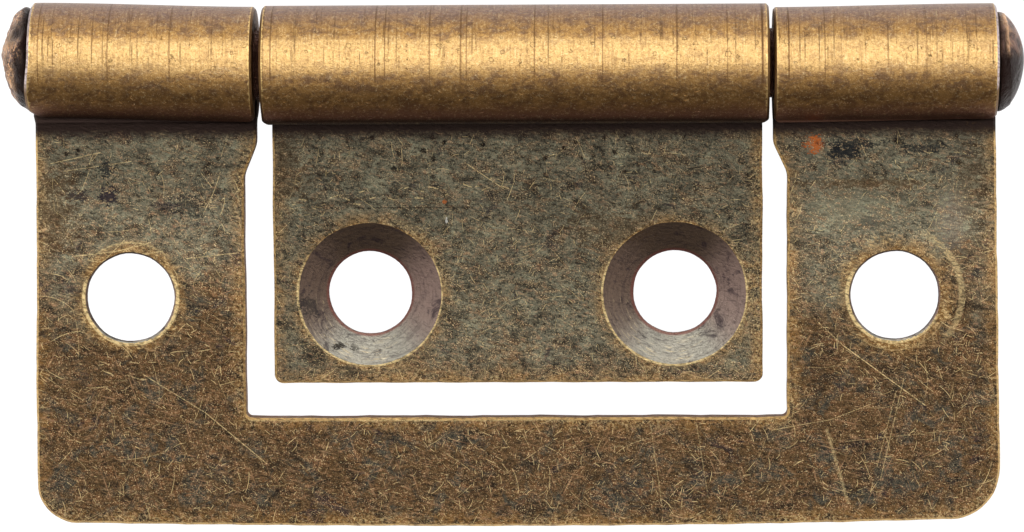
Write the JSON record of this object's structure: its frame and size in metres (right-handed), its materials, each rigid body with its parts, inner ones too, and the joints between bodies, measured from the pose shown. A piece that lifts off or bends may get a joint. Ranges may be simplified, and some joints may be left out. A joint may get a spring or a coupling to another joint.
{
  "type": "flush hinge",
  "caption": "Flush hinge of curled sheet brass: a short leaf swings through the cut-out of a frame-shaped leaf, on a pin peened at both ends.",
  "frame": {"origin": "under the middle of the whole hinge as it lies on its back, at the barrel's lowest line", "axes": "+X along the pin, +Y from the leaves' free edges to the barrel, +Z out of the side where the short leaf's countersinks open"},
  "size_m": [0.0532, 0.0272, 0.0062],
  "materials": {
    "outer_leaf_brass": "antiqued, scratched, worn bright on edges",
    "inner_leaf_brass": "antiqued, scratched, worn bright on edges",
    "pin_brass": "hammered heads, dull coppery brass"
  },
  "bodies": {
    "outer": {"outer_leaf": "outer_leaf_brass", "hinge_pin": "pin_brass"},
    "inner": {"inner_leaf": "inner_leaf_brass"}
  },
  "joints": [
    {"name": "leaf_swing", "type": "hinge", "parent": "outer", "child": "inner", "pos_m": [0.00012, 0.01056, 0.00308], "axis": [-1, 0, 0], "continuous": true}
  ]
}
